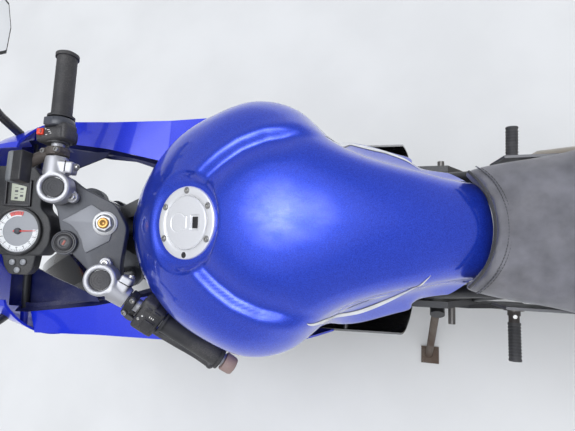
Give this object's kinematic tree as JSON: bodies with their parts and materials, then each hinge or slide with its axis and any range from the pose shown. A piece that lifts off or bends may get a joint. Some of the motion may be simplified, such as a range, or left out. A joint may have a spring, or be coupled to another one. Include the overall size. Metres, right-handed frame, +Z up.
{
  "type": "sport motorcycle on its side stand",
  "caption": "Sport bike with full fairing, low clip-on bars and a wide-shouldered tank, leaning on its side stand with the steering on its left stop.",
  "frame": {"origin": "middle of the parked bike's footprint box, on the ground", "axes": "+X the way the bike points, +Y to the rider's left, +Z up"},
  "size_m": [1.9552, 0.7958, 1.0538],
  "materials": {
    "arm_alloy": "brushed alloy",
    "black_gloss": "gloss black",
    "black_plastic": "fine-grained black plastic",
    "blue_paint": "glossy deep metallic blue",
    "blue_plastic": "glossy blue over moulded plastic",
    "bright_steel": "bright steel",
    "cast_dark": "dark grey satin alloy",
    "cast_silver": "satin cast aluminium",
    "chromed": "hard chrome",
    "dash_plastic": "dark grey plastic",
    "dull_steel": "dull steel, a little rust",
    "grip_rubber": "moulded rubber",
    "lens_amber": "amber moulded lens",
    "lens_clear": "clear moulded lens",
    "lens_red": "red moulded lens",
    "lid_silver": "satin silver",
    "mirror_glass": "silvered glass",
    "seat_vinyl": "fine-grained black vinyl",
    "smoked": "lightly smoked acrylic",
    "steel_frame": "satin black paint",
    "tyre_rubber": "road tyre rubber"
  },
  "bodies": {
    "chassis": {"drive_chain": "dull_steel", "rear_caliper": "cast_dark", "main_frame": "steel_frame", "rear_frame": "steel_frame", "swinging_arm": "arm_alloy", "rear_axle": "bright_steel", "chain_guard": "black_plastic", "rear_shock": "dull_steel", "engine": "cast_dark", "radiator": "cast_dark", "exhaust": "bright_steel", "fuel_tank": "blue_paint", "filler_ring": "lid_silver", "rider_seat": "seat_vinyl", "pillion_seat": "seat_vinyl", "tail_cowl": "blue_plastic", "tail_lamp": "lens_red", "side_panels": "black_plastic", "rear_mudguard": "black_plastic", "headlamps": "lens_clear", "nose_cowl": "blue_plastic", "windscreen": "smoked", "side_cowls": "blue_plastic", "belly_cowl": "black_gloss", "inner_cowl": "black_plastic", "instruments": "dash_plastic", "mirrors": "black_plastic", "mirror_glasses": "mirror_glass", "indicators": "lens_amber", "footrest_plates": "cast_dark", "footpegs": "cast_silver", "foot_pedals": "cast_dark"},
    "steering": {"fork_tubes": "chromed", "fork_sliders": "cast_silver", "bottom_clamp": "cast_dark", "top_clamp": "cast_dark", "stem_nut": "bright_steel", "front_axle": "bright_steel", "clip_ons": "cast_silver", "grips": "grip_rubber", "bar_end": "dull_steel", "switch_boxes": "black_plastic", "levers": "cast_silver", "front_mudguard": "blue_plastic", "front_caliper": "cast_dark"},
    "front_wheel": {"front_rim": "cast_dark", "front_tyre": "tyre_rubber", "front_disc": "bright_steel"},
    "rear_wheel": {"rear_rim": "cast_dark", "rear_tyre": "tyre_rubber", "rear_disc": "bright_steel", "rear_sprocket": "dull_steel"},
    "stand": {"side_stand": "dull_steel"},
    "lid": {"filler_lid": "lid_silver"}
  },
  "joints": [
    {"name": "steering_stem", "type": "hinge", "parent": "chassis", "child": "steering", "pos_m": [0.46478, -0.03674, 0.70335], "axis": [-0.4188, 0.1577, 0.8943], "range_deg": [-58, 0]},
    {"name": "front_wheel_spin", "type": "hinge", "parent": "steering", "child": "front_wheel", "pos_m": [0.70635, -0.08808, 0.28053], "axis": [-0.4402, 0.8261, -0.3518], "continuous": true},
    {"name": "rear_wheel_spin", "type": "hinge", "parent": "chassis", "child": "rear_wheel", "pos_m": [-0.64322, -0.10727, 0.30337], "axis": [0, 0.9848, -0.1736], "continuous": true},
    {"name": "stand_pivot", "type": "hinge", "parent": "chassis", "child": "stand", "pos_m": [-0.14166, 0.04427, 0.28974], "axis": [-0.0016, 0.9107, 0.413], "range_deg": [0, 88.1]},
    {"name": "lid_hinge", "type": "hinge", "parent": "chassis", "child": "lid", "pos_m": [0.26463, -0.00749, 0.86922], "axis": [0, 0.9848, -0.1736], "range_deg": [0, 95]}
  ]
}
